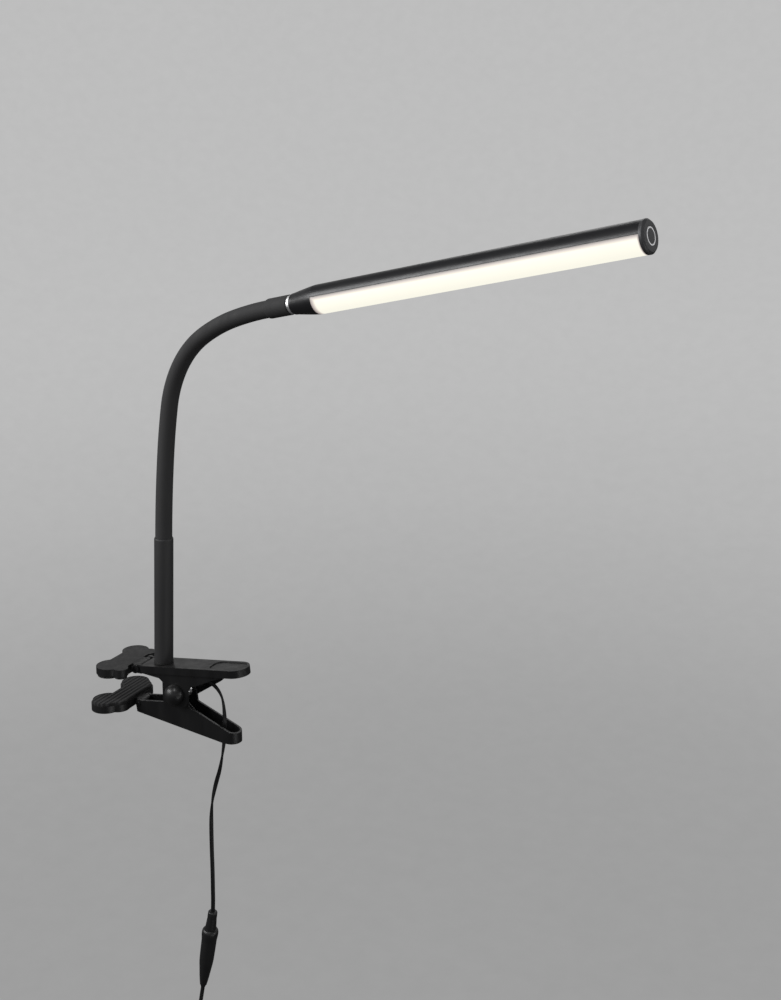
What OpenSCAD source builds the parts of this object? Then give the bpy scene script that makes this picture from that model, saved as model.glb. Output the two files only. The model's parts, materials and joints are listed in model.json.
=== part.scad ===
// Clip-on reading lamp: sprung two-lever clamp with swivelling feet, bendable neck,
// tubular LED head with a touch switch, and a low-voltage lead with an inline connector.
// Frame: origin at the centre of the upper pad's gripping face, +X towards the handles,
// +Z up, the neck standing on the upper lever and the head reaching out over the handles.

/* [Clamp] */
// Thickness of the board between the pads at rest
board_t = 18; // [16:0.5:20]
// Distance from the pad centre to the main pivot
pivot_x = 47.5; // [47:0.5:48]
// Upward tilt of the upper lever's plate towards the handle
plate_tilt = 6.3; // [5.5:0.1:7]
// Width of the upper lever
plate_w = 19.4; // [19:0.1:20]
// Distance from the pad centre to the handle end
plate_end = 102; // [100:1:104]
// Depth of the rim around the upper lever's plate
skirt_h = 5.4; // [5:0.1:6]
// Width of the lower lever
lower_w = 13.2; // [13:0.1:13.4]
// Radius of the domed pivot caps
cap_r = 7.2; // [6.8:0.1:7.6]

/* [Feet] */
// Height of a foot with its rubber pad
foot_h = 7; // [6.6:0.1:7.4]
// Thickness of the rubber pads
pad_t = 1.8; // [1.4:0.1:2.2]

/* [Neck] */
// Distance from the pad centre to the neck axis
neck_x = 33; // [32.5:0.5:33.5]
// Lean of the rigid sleeve towards the head
neck_lean = 2.5; // [2:0.5:3]
// Turn of the neck and head away from the clamp's own plane
neck_turn = -12; // [-20:1:20]
// Length of the rigid lower sleeve above the plate
sleeve_l = 92; // [88:1:96]
// Radius of the rigid lower sleeve
sleeve_r = 6.62; // [6.5:0.01:6.8]
// Length of one link of the bendable neck
link_l = 31.2; // [30:0.2:32]
// Radius of the neck's sheath at its lower end
sheath_r = 5.85; // [5.8:0.01:5.95]

/* [Head] */
// Radius of the tubular head
head_r = 9.1; // [9:0.1:9.4]
// Length of the head from the chrome ring to the end cap's face
head_l = 238; // [235:0.5:241]
// Angle by which the diffuser wraps above the middle on each side
wrap_angle = 12; // [11:1:14]

/* [Lead] */
// Width of the two-core lead
lead_d = 3; // [2.9:0.05:3.1]
// Mean radius of the stored coil
coil_r = 18; // [17.9:0.1:18.1]

/* [Hidden] */
$fn = 64;
big = 300;

// clamp
plate_top = 9;
plate_t = 1.6;
wall_t = 1.6;
plate_x0 = 19.2;
mid_z = -board_t / 2;
cheek_in = plate_w / 2 - wall_t - 0.8;
cheek_out = cheek_in + wall_t;
knuckle_out = plate_w / 2 + 0.6;
pivot_pin_r = 2.5;
foot_pin_x = 15.3;
foot_pin_z = 4.6;
foot_pin_r = 1.5;
knuckle_r = 3.1;
lower_wall = 1.6;
lower_end = 94.8;
lower_floor = 66;

// torsion spring: mean coil radius, wire radius, turns, half length, leg ends (x, z)
spring_r = 6;
wire_r = 0.8;
spring_turns = 4;
spring_y = 3.4;
upper_leg = [69, 10.5];
lower_leg = [66, -33.9];

// neck: bend of each link in degrees, ball joints between links
link_bends = [2, 2, 4, 22.5, 25, 13.5, 7];
links = len(link_bends);
core_r = 4.4;
ball_r = 3.5;
stalk_r = 2.3;
wire_bore = 1.4;
joint_gap = 0.85;
nipple_r = 4;
nipple_bore = 2.3;

// head
ferrule_l = 18;
ring_l = 2.6;
cone_l = 20;
cap_l = 2.8;
ring_r = 4.9;
ring_w = 0.85;
board_r = 6.8;
shell_t = 1.4;
shelf_t = 1.6;
diffuser_t = 1.2;
shaft_r = 3.2;
chip_count = 30;
body_l = head_l - cone_l - cap_l;
split_u = head_r * sin(wrap_angle);

// inline connector: where the lamp's lead enters it, and its lean from the vertical
plug_at = [68.2, 0, -174.7];
plug_lean = 9.3;
socket_from = 14.4;
connector_l = 63.6;
barrel_l = 9.5;

// stored coil of the lead and the plug-in adapter under it
coil_at = [73, 0, -284];
coil_half_w = 7.6;
coil_half_t = 4.6;
line_x = coil_at[0] - coil_r;
boot_top = -331;
adapter_top = -352;
adapter_h = 60;
adapter_w = 40;
adapter_t = 28;
pin_gap = 19;
pin_l = 19;

// route of the lead inside the sleeve and the upper lever
inner_route = [
    [36.4, -0.7, 88], [35.9, -0.6, 76], [35.4, -0.5, 64], [34.8, -0.4, 52], [34.3, -0.3, 40],
    [33.8, -0.2, 28], [33.3, -0.1, 16], [32.9, 0, 7], [32.7, 0, 1], [33.2, 0, -2.6],
    [35.4, 0, -5.2], [39, 0, -5.2], [43, 0, -2.8], [47, 0, -0.4], [51, 0, 1.2],
    [55, 0, 2], [59, 0, 2.2], [64.5, 0, 2]
];
// route of the lamp's lead from the clip, through the lower lever's slot, to the connector
lamp_route = [
    [64.5, 0, 2], [69.2, 0, 1.1], [73.6, 0, -1], [77.4, 0, -4.3], [80, 0, -8.6], [81.3, 0, -13.8],
    [81.9, 0, -20], [82.1, 0, -26], [82, 0, -32], [81.5, 0, -38], [80.8, 0, -44],
    [79.8, 0, -50], [78.5, 0, -57], [76.6, 0, -65], [74.1, 0, -73], [71.9, 0, -81],
    [70.2, 0, -89], [69.2, 0, -98], [68.8, 0, -108], [68.7, 0, -118], [68.7, 0, -128],
    [68.8, 0, -138], [68.8, 0, -148], [68.7, 0, -157], [68.6, 0, -166], [68.2, 0, -174.7]
];
// route of the adapter's lead from the connector to the coil, and from the coil to the boot
adapter_route = [
    [57.9, 0, -237.5], [56.8, -0.2, -244], [56, -1, -250.5], [55.4, -2.6, -257],
    [55.1, -4.2, -263.5], [55, -5.4, -270.5]
];
drop_route = [
    [55, 5.4, -297.5], [55, 4.4, -304], [55, 2.6, -311], [55, 1, -318], [55, 0.2, -325],
    [55, 0, -331]
];

// ---- helpers ----

function unit(v) = v / norm(v);
function tangent(p, i) = unit(p[min(i + 1, len(p) - 1)] - p[max(i - 1, 0)]);

// round bar along a route that never runs parallel to Y
module swept_bar(route, r, sides) {
    n = len(route);
    rings = [
        for (i = [0:n - 1])
            let (t = tangent(route, i), a = unit(cross(t, [0, 1, 0])), b = cross(t, a))
                for (k = [0:sides - 1])
                    route[i] + r * (cos(360 * k / sides) * a + sin(360 * k / sides) * b)
    ];
    walls = [
        for (i = [0:n - 2])
            for (k = [0:sides - 1])
                [
                    i * sides + k, (i + 1) * sides + k,
                    (i + 1) * sides + (k + 1) % sides, i * sides + (k + 1) % sides
                ]
    ];
    ends = [[for (k = [0:sides - 1]) k], [for (k = [sides - 1:-1:0]) (n - 1) * sides + k]];
    polyhedron(points = rings, faces = concat(walls, ends), convexity = 6);
}

// flat XZ outline as a slab from y0 to y0 + t
module side_slab(y0, t) {
    translate([0, y0 + t, 0]) rotate([90, 0, 0]) linear_extrude(height = t) children();
}

// the same slab on both sides of the middle, from y_in to y_in + t
module both_sides(y_in, t) {
    side_slab(y_in, t) children();
    side_slab(-y_in - t, t) children();
}

// round bar along Y, centred on y = 0
module y_bar(x, z, r, l) {
    translate([x, 0, z]) rotate([90, 0, 0]) cylinder(r = r, h = l, center = true);
}

module tube(r_out, r_in, h) {
    difference() {
        cylinder(r = r_out, h = h);
        translate([0, 0, -1]) cylinder(r = r_in, h = h + 2);
    }
}

// children placed on the upper lever's sloping plate, with z = 0 on its top face
module on_plate() {
    translate([neck_x, 0, plate_top]) rotate([0, -plate_tilt, 0]) children();
}

// children placed on the neck's axis, with z = 0 where it meets the plate
module at_neck() {
    translate([neck_x, 0, plate_top])
        rotate([0, 0, neck_turn])
            rotate([0, neck_lean, 0])
                children();
}

function bend_radius(i) = link_l / (link_bends[i] * PI / 180);

// children placed at the start of link i, with +Z along the link
module at_link(i) {
    if (i == 0)
        at_neck() translate([0, 0, sleeve_l]) children();
    else
        at_link(i - 1)
            translate([bend_radius(i - 1) * (1 - cos(link_bends[i - 1])), 0,
                       bend_radius(i - 1) * sin(link_bends[i - 1])])
                rotate([0, link_bends[i - 1], 0])
                    children();
}

// ring-shaped section swept along link i from distance l0 to l1
module link_sweep(i, l0, l1, r_out, r_in) {
    r = bend_radius(i);
    a0 = link_bends[i] * l0 / link_l;
    a1 = link_bends[i] * l1 / link_l;
    translate([r, 0, 0])
        mirror([1, 0, 0])
            rotate([90, 0, 0])
                rotate([0, 0, a0])
                    rotate_extrude(angle = a1 - a0)
                        translate([r, 0])
                            difference() {
                                circle(r = r_out);
                                circle(r = r_in);
                            }
}

// children placed on the head's axis, with z = 0 at the chrome ring's front face
module at_head() {
    at_link(links) translate([0, 0, ferrule_l + ring_l]) children();
}

// children placed on the connector's axis, with +Z running down along it
module at_connector() {
    translate(plug_at) rotate([0, 180 + plug_lean, 0]) children();
}

// ---- upper lever ----

module plate_outline(inset) {
    u0 = plate_x0 - neck_x + inset;
    u1 = plate_end - neck_x - plate_w / 2;
    half = plate_w / 2 - inset;
    translate([u0, -half]) square([u1 - u0, 2 * half]);
    translate([u1, 0]) circle(r = half);
}

// outline of a cheek: right edge, and the slope that runs from it up to the plate
module cheek_outline(right, slope) {
    corner = 4.2;
    left = 37.3;
    low = mid_z - 8.7;
    polygon(concat(
        [
            [19.6, 4.6], [19.6, 1.9], [34.5, 0.5], [left, -1.6], [left, low + corner],
            [right, low + corner]
        ],
        slope,
        [[86, 9], [86, 11], [58, 8]]
    ));
    translate([left + corner, low + corner]) circle(r = corner);
    translate([right - corner, low + corner]) circle(r = corner);
    translate([left + corner, low]) square([right - left - 2 * corner, corner + 1]);
}

module knuckle_outline() {
    translate([foot_pin_x, foot_pin_z]) circle(r = knuckle_r);
    translate([foot_pin_x, foot_pin_z - knuckle_r]) square([5, 2 * knuckle_r]);
}

module knuckle_boss() {
    translate([foot_pin_x, foot_pin_z]) circle(r = knuckle_r);
}

module thumb_recess() {
    r = 5;
    w = 15;
    u0 = 40.5;
    u1 = 66;
    translate([0, 0, -0.6])
        linear_extrude(height = 2)
            union() {
                translate([u0 + r, -w / 2]) square([u1 - u0 - 2 * r, w]);
                translate([u0, r - w / 2]) square([u1 - u0, w - 2 * r]);
                for (u = [u0 + r, u1 - r], v = [-w / 2 + r, w / 2 - r])
                    translate([u, v]) circle(r = r);
            }
}

module upper_lever() {
    color([0.06, 0.06, 0.07])
    difference() {
        union() {
            on_plate()
                difference() {
                    translate([0, 0, -skirt_h])
                        linear_extrude(height = skirt_h) plate_outline(0);
                    translate([0, 0, -skirt_h - 1])
                        linear_extrude(height = skirt_h + 1 - plate_t) plate_outline(wall_t);
                    thumb_recess();
                }
            side_slab(-cheek_out, wall_t)
                cheek_outline(57.8, [[58, -5.6], [60.2, -1.9], [63.5, -1], [76.6, 5.3]]);
            side_slab(cheek_in, wall_t) cheek_outline(53.8, [[53.8, -15], [57, -12.8], [75, -1]]);
            both_sides(cheek_in, wall_t + 0.2) knuckle_outline();
            both_sides(cheek_in, knuckle_out - cheek_in) knuckle_boss();
        }
        at_neck() translate([0, 0, -10]) cylinder(r = nipple_r + 0.05, h = 20);
        y_bar(pivot_x, mid_z, pivot_pin_r + 0.02, 40);
        y_bar(foot_pin_x, foot_pin_z, foot_pin_r + 0.02, 40);
    }
}

// ---- lower lever ----

module lower_side() {
    polygon([
        [12.4, -board_t - 5], [13.4, -board_t - 10.8], [16, -board_t - 11.3],
        [84.5, -board_t - 21.6], [lower_end, -board_t - 21.6], [lower_end, -board_t - 14],
        [89.2, -board_t - 12.8], [57, -board_t + 0.3], [56, mid_z], [38, mid_z],
        [36, -board_t + 0.6], [18, -board_t - 1.7]
    ]);
    translate([pivot_x, mid_z]) circle(r = 7.9);
    translate([foot_pin_x, -board_t - foot_pin_z]) circle(r = knuckle_r);
}

module lower_plan(half, x_end) {
    translate([0, -half]) square([x_end - half, 2 * half]);
    translate([x_end - half, 0]) circle(r = half);
}

module lower_floor_outline() {
    polygon([
        [12, -board_t - 8.4], [16, -board_t - 9], [lower_floor, -board_t - 16.9],
        [lower_floor, -board_t - 20], [12, -board_t - 12]
    ]);
}

module lower_lever() {
    inner = lower_w / 2 - lower_wall;
    color([0.06, 0.06, 0.07])
    difference() {
        intersection() {
            side_slab(-lower_w / 2, lower_w) lower_side();
            translate([0, 0, -80]) linear_extrude(height = 100) lower_plan(lower_w / 2, lower_end);
        }
        difference() {
            translate([0, 0, -80])
                linear_extrude(height = 100) lower_plan(inner, lower_end - lower_wall);
            side_slab(-inner - 1, 2 * inner + 2) lower_floor_outline();
        }
        y_bar(pivot_x, mid_z, pivot_pin_r + 0.05, 40);
        y_bar(foot_pin_x, -board_t - foot_pin_z, foot_pin_r + 0.02, 40);
    }
}

// ---- feet: two scalloped wings joined by a body, and a tongue back to the hinge pin ----

// the outer and inner lobes of a wing are each [x, y, radius]
module foot_plan(inset, outer, inner) {
    for (side = [-1, 1], lobe = [outer, inner, [4, 13, 7]])
        translate([lobe[0], side * lobe[1]]) circle(r = lobe[2] - inset);
    translate([-7.6 + inset, -11]) square([18.4 - 2 * inset, 22]);
}

module upper_foot_plan(inset) {
    foot_plan(inset, [-2, 15.4, 9.6], [8.4, 17.2, 5.2]);
}

module lower_foot_plan(inset) {
    foot_plan(inset, [-4.5, 17.2, 10.8], [3.8, 14.4, 7.4]);
}

// foot with its gripping side down, around its plan, with a tongue of the given half width
module foot_body(tongue) {
    color([0.07, 0.07, 0.08])
    difference() {
        union() {
            translate([0, 0, pad_t]) linear_extrude(height = foot_h - pad_t) children();
            translate([8, -tongue, 1.9]) cube([foot_pin_x - 8, 2 * tongue, 5]);
            y_bar(foot_pin_x, foot_pin_z, 2.9, 2 * tongue);
        }
        y_bar(foot_pin_x, foot_pin_z, foot_pin_r + 0.05, 40);
    }
}

module foot_pad() {
    color([0.04, 0.04, 0.04]) linear_extrude(height = pad_t - 0.01) children();
}

module upper_foot() {
    foot_body(cheek_in - 0.4) upper_foot_plan(0);
}

module upper_pad() {
    foot_pad() upper_foot_plan(0.9);
}

module lower_foot() {
    translate([0, 0, -board_t])
        mirror([0, 0, 1])
            foot_body(lower_w / 2 - lower_wall - 0.4) lower_foot_plan(0);
}

module lower_pad() {
    translate([0, 0, -board_t]) mirror([0, 0, 1]) foot_pad() lower_foot_plan(0.9);
}

module upper_foot_pin() {
    color([0.2, 0.2, 0.2]) y_bar(foot_pin_x, foot_pin_z, foot_pin_r, 2 * knuckle_out - 0.6);
}

module lower_foot_pin() {
    color([0.2, 0.2, 0.2])
        y_bar(foot_pin_x, -board_t - foot_pin_z, foot_pin_r, lower_w + 1.2);
}

// ---- main pivot ----

module pivot_pin() {
    color([0.5, 0.5, 0.5]) y_bar(pivot_x, mid_z, pivot_pin_r, 2 * cheek_out + 3);
}

module pivot_caps() {
    color([0.07, 0.07, 0.07])
    for (s = [-1, 1])
        translate([pivot_x, s * (cheek_out + 0.05), mid_z])
            rotate([-90 * s, 0, 0])
                difference() {
                    intersection() {
                        sphere(r = cap_r);
                        cylinder(r = 20, h = 20);
                    }
                    translate([0, 0, -1]) cylinder(r = pivot_pin_r + 0.02, h = 2.6);
                }
}

module pivot_spacers() {
    y_in = lower_w / 2 + 0.05;
    color([0.8, 0.8, 0.78])
    for (s = [-1, 1])
        translate([pivot_x, s * y_in, mid_z])
            rotate([-90 * s, 0, 0])
                tube(5, pivot_pin_r + 0.05, cheek_in - y_in - 0.05);
}

module spring_bush() {
    l = lower_w - 2 * lower_wall - 0.4;
    color([0.85, 0.85, 0.82])
    translate([pivot_x, l / 2, mid_z]) rotate([90, 0, 0]) tube(4.8, pivot_pin_r + 0.05, l);
}

// angle at which a line from point p touches the spring's mean circle, on the side given
function touch_angle(p, side) =
    let (d = p - [pivot_x, mid_z])
        atan2(d[1], d[0]) + side * acos(spring_r / norm(d));
function spring_route() =
    let (
        a0 = touch_angle(upper_leg, 1),
        a1 = touch_angle(lower_leg, -1) + 360 * (spring_turns + 1),
        steps = 16 * spring_turns + 6
    )
    concat(
        [[upper_leg[0], -spring_y, upper_leg[1]]],
        [
            for (i = [0:steps])
                let (a = a0 + (a1 - a0) * i / steps)
                    [pivot_x + spring_r * cos(a), spring_y * (2 * i / steps - 1),
                     mid_z + spring_r * sin(a)]
        ],
        [[lower_leg[0], spring_y, lower_leg[1]]]
    );

module torsion_spring() {
    color([0.6, 0.6, 0.6]) swept_bar(spring_route(), wire_r, 8);
}

// ---- fixing of the neck, and the lead's clip inside the upper lever ----

module neck_seat() {
    color([0.03, 0.03, 0.03])
    difference() {
        at_neck() translate([0, 0, -3]) tube(6.8, nipple_r + 0.1, 4.6);
        on_plate() translate([-big / 2, -big / 2, -big]) cube(big);
    }
}

module seat_wedge() {
    color([0.6, 0.6, 0.6])
    difference() {
        at_neck() translate([0, 0, -4.1]) tube(6.8, nipple_r + 0.1, 4);
        on_plate() translate([-big / 2, -big / 2, -plate_t]) cube(big);
    }
}

module neck_nipple() {
    color([0.75, 0.7, 0.5])
    at_neck() translate([0, 0, -8.4]) tube(nipple_r, nipple_bore, 22.4);
}

module neck_nut() {
    color([0.75, 0.7, 0.5])
    at_neck()
        translate([0, 0, -7.6])
            difference() {
                cylinder(r = 6.9, h = 3.4, $fn = 6);
                translate([0, 0, -1]) cylinder(r = nipple_r + 0.02, h = 6);
            }
}

module inner_lead() {
    color([0.05, 0.05, 0.05]) swept_bar(inner_route, 1.25, 8);
}

module cord_clip() {
    color([0.1, 0.1, 0.1])
    difference() {
        translate([58.5, -2.2, 0]) cube([6, 8.2, 20]);
        on_plate() translate([-big / 2, -big / 2, -plate_t]) cube(big);
        translate([57, 0, 2.05]) rotate([0, 90, 0]) cylinder(r = lead_d / 2 + 0.1, h = 9);
        translate([61.5, 3.9, -1]) cylinder(r = 1.32, h = 9);
    }
}

module clip_screw() {
    color([0.7, 0.7, 0.7])
    translate([61.5, 3.9, 0]) {
        translate([0, 0, -1.5]) cylinder(r = 2, h = 1.48);
        translate([0, 0, -0.5]) cylinder(r = 1.3, h = 8);
    }
}

// ---- neck ----

module lower_sleeve() {
    color([0.09, 0.09, 0.1])
    at_neck()
        difference() {
            translate([0, 0, 1.65]) cylinder(r = sleeve_r, h = sleeve_l - 1.65);
            translate([0, 0, 1]) cylinder(r = nipple_r + 0.03, h = sleeve_l);
            translate([0, 0, 15]) cylinder(r = core_r + 0.05, h = sleeve_l);
        }
}

// core of link i: cup at its start, ball on a stalk at its end
module link_core(i) {
    last = i == links - 1;
    color([0.45, 0.45, 0.45])
    union() {
        difference() {
            link_sweep(i, i == 0 ? 0 : 0.3, last ? link_l : link_l - 3.2, core_r, wire_bore);
            if (i > 0) sphere(r = ball_r + 0.08);
        }
        if (i == 0) translate([0, 0, -12]) tube(core_r - 0.3, wire_bore + 0.3, 12.5);
        if (!last)
            at_link_end(i)
                difference() {
                    union() {
                        sphere(r = ball_r);
                        translate([0, 0, -3.4]) cylinder(r = stalk_r, h = 3.4);
                    }
                    translate([0, 0, -6]) cylinder(r = wire_bore, h = 12);
                }
    }
}

// children placed at the end of link i, inside the link's own frame
module at_link_end(i) {
    r = bend_radius(i);
    a = link_bends[i];
    translate([r * (1 - cos(a)), 0, r * sin(a)]) rotate([0, a, 0]) children();
}

module link_sheath(i) {
    last = i == links - 1;
    color([0.06, 0.06, 0.06])
    link_sweep(i, i == 0 ? 0.02 : joint_gap, last ? link_l : link_l - joint_gap,
               sheath_r - 0.05 * i, core_r + 0.05);
}

module neck_core_0() { at_link(0) link_core(0); }
module neck_core_1() { at_link(1) link_core(1); }
module neck_core_2() { at_link(2) link_core(2); }
module neck_core_3() { at_link(3) link_core(3); }
module neck_core_4() { at_link(4) link_core(4); }
module neck_core_5() { at_link(5) link_core(5); }
module neck_core_6() { at_link(6) link_core(6); }
module neck_sheath_0() { at_link(0) link_sheath(0); }
module neck_sheath_1() { at_link(1) link_sheath(1); }
module neck_sheath_2() { at_link(2) link_sheath(2); }
module neck_sheath_3() { at_link(3) link_sheath(3); }
module neck_sheath_4() { at_link(4) link_sheath(4); }
module neck_sheath_5() { at_link(5) link_sheath(5); }
module neck_sheath_6() { at_link(6) link_sheath(6); }

// ---- swivel between neck and head ----

module neck_ferrule() {
    color([0.08, 0.08, 0.09])
    at_link(links)
        translate([0, 0, 0.02])
            difference() {
                cylinder(r = 6.35, h = ferrule_l - 0.04);
                translate([0, 0, -1]) cylinder(r = shaft_r + 0.02, h = ferrule_l + 2);
            }
}

module chrome_ring() {
    color([0.85, 0.85, 0.87])
    at_head()
        translate([0, 0, -ring_l])
            rotate_extrude()
                difference() {
                    union() {
                        translate([shaft_r + 0.02, 0.3]) square([5.5 - shaft_r, ring_l - 0.6]);
                        translate([shaft_r + 0.02, 0]) square([5.2 - shaft_r, ring_l - 0.05]);
                        translate([5.2, 1.3]) circle(r = 0.75);
                    }
                    translate([-1, -1]) square([1 + shaft_r + 0.02, 9]);
                }
}

module swivel_shaft() {
    color([0.6, 0.6, 0.6])
    at_head()
        difference() {
            translate([0, 0, -ring_l - ferrule_l + 0.1])
                tube(shaft_r, wire_bore + 0.4, ferrule_l + ring_l + 9.9);
            translate([0, 0, 7.9])
                difference() {
                    cylinder(r = 5, h = 1.1);
                    cylinder(r = shaft_r - 0.5, h = 3, center = true);
                }
        }
}

module swivel_clip() {
    color([0.3, 0.3, 0.3])
    at_head()
        translate([0, 0, 8])
            difference() {
                tube(5, shaft_r - 0.48, 0.9);
                translate([0, -1, -1]) cube([9, 2, 4]);
            }
}

module head_cone() {
    color([0.07, 0.07, 0.08])
    at_head()
        difference() {
            rotate_extrude()
                polygon([
                    [shaft_r + 0.05, 0.05], [6.65, 0.05], [7.1, 4], [7.8, 9], [8.6, 15],
                    [head_r, cone_l], [7.55, cone_l], [7.55, cone_l + 6], [6.4, cone_l + 6],
                    [6.4, 7.6], [shaft_r + 0.05, 7.6]
                ]);
            translate([-split_u - shelf_t - 0.1, -head_r, cone_l - 0.02])
                cube([shelf_t + 0.2, 2 * head_r, 7]);
        }
}

// ---- head: housing above, diffuser below, board and chips between ----

// half plane of the head's section above height u; the section's +X side faces down
module above(u) {
    translate([-u - 50, -50]) square([50, 100]);
}

module along_head(l0, l1) {
    at_head() translate([0, 0, l0]) linear_extrude(height = l1 - l0) children();
}

module head_housing() {
    color([0.1, 0.1, 0.11])
    along_head(cone_l + 0.02, cone_l + body_l - 0.02)
        difference() {
            intersection() {
                circle(r = head_r);
                above(split_u + 0.05);
            }
            intersection() {
                circle(r = head_r - shell_t - 0.1);
                above(split_u + shelf_t);
            }
        }
}

module diffuser() {
    color([1, 0.96, 0.88])
    along_head(cone_l + 0.02, cone_l + body_l - 0.02)
        difference() {
            circle(r = head_r);
            circle(r = head_r - diffuser_t);
            above(split_u);
        }
}

module led_board() {
    color([0.95, 0.95, 0.93])
    along_head(cone_l + 7, cone_l + body_l - 9)
        translate([-split_u - 0.03, -6]) square([1.2, 12]);
}

module led_chips() {
    pitch = (body_l - 22) / (chip_count - 1);
    color([1, 0.9, 0.5])
    at_head()
        for (i = [0:chip_count - 1])
            translate([-split_u + 1.2, -1.75, cone_l + 9 + i * pitch]) cube([0.7, 3.5, 2.8]);
}

module end_cap() {
    bevel = 1.2;
    r = head_r + 0.15;
    color([0.12, 0.12, 0.13])
    at_head()
        translate([0, 0, head_l - cap_l])
            difference() {
                rotate_extrude()
                    polygon([
                        [0, 0.01], [r, 0.01], [r, cap_l - bevel], [r - bevel, cap_l],
                        [0, cap_l]
                    ]);
                translate([0, 0, cap_l - 0.5]) tube(ring_r + 0.02, ring_r - ring_w - 0.02, 2);
                translate([0, 0, -1]) cylinder(r = board_r + 0.2, h = 2.6);
            }
}

module light_ring() {
    color([0.85, 0.85, 0.85])
    at_head() translate([0, 0, head_l - 0.48]) tube(ring_r, ring_r - ring_w, 0.5);
}

module touch_board() {
    color([0.1, 0.35, 0.2])
    at_head() translate([0, 0, head_l - cap_l + 0.5]) cylinder(r = board_r, h = 1.05);
}

// ---- lamp's lead and inline connector ----

module lamp_lead() {
    color([0.05, 0.05, 0.05]) swept_bar(lamp_route, lead_d / 2, 8);
}

module lead_plug() {
    color([0.06, 0.06, 0.06])
    at_connector()
        rotate_extrude()
            polygon([
                [0, 0], [2.6, 0], [3.05, 0.6], [3.05, 5.2], [2.85, 5.7], [2.85, 7],
                [3.5, 12], [3.5, socket_from - 0.05], [0, socket_from - 0.05]
            ]);
}

module plug_barrel() {
    color([0.8, 0.8, 0.8])
    at_connector() translate([0, 0, socket_from - 0.05]) tube(2.75, 1.05, barrel_l);
}

module inline_socket() {
    color([0.06, 0.06, 0.06])
    at_connector()
        difference() {
            rotate_extrude()
                polygon([
                    [0, socket_from], [4.4, socket_from], [5.2, socket_from + 0.9],
                    [5.45, socket_from + 2.4], [5.35, socket_from + 5], [5, 24], [4.6, 33],
                    [4.3, 41.5], [3.95, 47.5], [3.4, 56], [2.55, 61.5], [2, connector_l],
                    [0, connector_l]
                ]);
            translate([0, 0, socket_from - 1]) cylinder(r = 2.82, h = barrel_l + 1.5);
            translate([0, 0, socket_from]) cylinder(r = 0.92, h = barrel_l + 5);
        }
}

module contact_pin() {
    color([0.8, 0.75, 0.5])
    at_connector() translate([0, 0, socket_from + 1]) cylinder(r = 0.9, h = barrel_l + 3.9);
}

// ---- adapter's lead, stored in a coil, and the plug-in adapter ----

module adapter_lead() {
    color([0.05, 0.05, 0.05]) swept_bar(adapter_route, lead_d / 2, 8);
}

module lead_coil() {
    edge = 1.5;
    r0 = coil_r - coil_half_t;
    r1 = coil_r + coil_half_t;
    color([0.05, 0.05, 0.05])
    translate(coil_at)
        rotate([90, 0, 0])
            rotate_extrude()
                polygon([
                    [r0 + edge, -coil_half_w], [r1 - edge, -coil_half_w],
                    [r1, -coil_half_w + edge], [r1, coil_half_w - edge],
                    [r1 - edge, coil_half_w], [r0 + edge, coil_half_w],
                    [r0, coil_half_w - edge], [r0, -coil_half_w + edge]
                ]);
}

module coil_tie() {
    strap = 0.8;
    hw = coil_half_w + 0.4;
    x0 = line_x - coil_half_t - 0.5;
    x1 = line_x + coil_half_t + 0.8;
    color([0.1, 0.1, 0.1])
    translate([0, 0, coil_at[2] - 2.5])
        difference() {
            translate([x0 - strap, -hw - strap, 0])
                cube([x1 - x0 + 2 * strap, 2 * (hw + strap), 5]);
            translate([x0, -hw, -1]) cube([x1 - x0, 2 * hw, 7]);
        }
}

module coil_drop() {
    color([0.05, 0.05, 0.05]) swept_bar(drop_route, lead_d / 2, 8);
}

module adapter_boot() {
    color([0.05, 0.05, 0.05])
    translate([line_x, 0, adapter_top + 0.02])
        rotate_extrude()
            polygon([
                [0, 0], [4.6, 0], [4.6, 1.6], [3.9, 2.4], [2.3, boot_top - adapter_top],
                [0, boot_top - adapter_top]
            ]);
}

module rounded_block(sx, sy, sz, r) {
    linear_extrude(height = sz) {
        square([sx, sy - 2 * r], center = true);
        square([sx - 2 * r, sy], center = true);
        for (x = [-1, 1], y = [-1, 1])
            translate([x * (sx / 2 - r), y * (sy / 2 - r)]) circle(r = r);
    }
}

module adapter_body() {
    color([0.06, 0.06, 0.06])
    translate([line_x - 1.25, 0, adapter_top - adapter_h])
        rounded_block(adapter_t - 2.5, adapter_w, adapter_h, 3);
}

module adapter_face() {
    color([0.08, 0.08, 0.08])
    translate([line_x + adapter_t / 2 - 2.48, -adapter_w / 2 + 1.2, adapter_top - adapter_h + 1.2])
        difference() {
            cube([2.48, adapter_w - 2.4, adapter_h - 2.4]);
            for (s = [-1, 1])
                translate([-1, adapter_w / 2 - 1.2 + s * pin_gap / 2, adapter_h - 21.2])
                    rotate([0, 90, 0]) cylinder(r = 2.01, h = 6);
        }
}

module adapter_pins() {
    color([0.8, 0.8, 0.8])
    for (s = [-1, 1])
        translate([line_x + adapter_t / 2 - 2.4, s * pin_gap / 2, adapter_top - 20])
            rotate([0, 90, 0]) {
                cylinder(r = 2, h = pin_l + 1.4);
                translate([0, 0, pin_l + 1.4]) cylinder(r1 = 2, r2 = 1.2, h = 1);
            }
}

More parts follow.
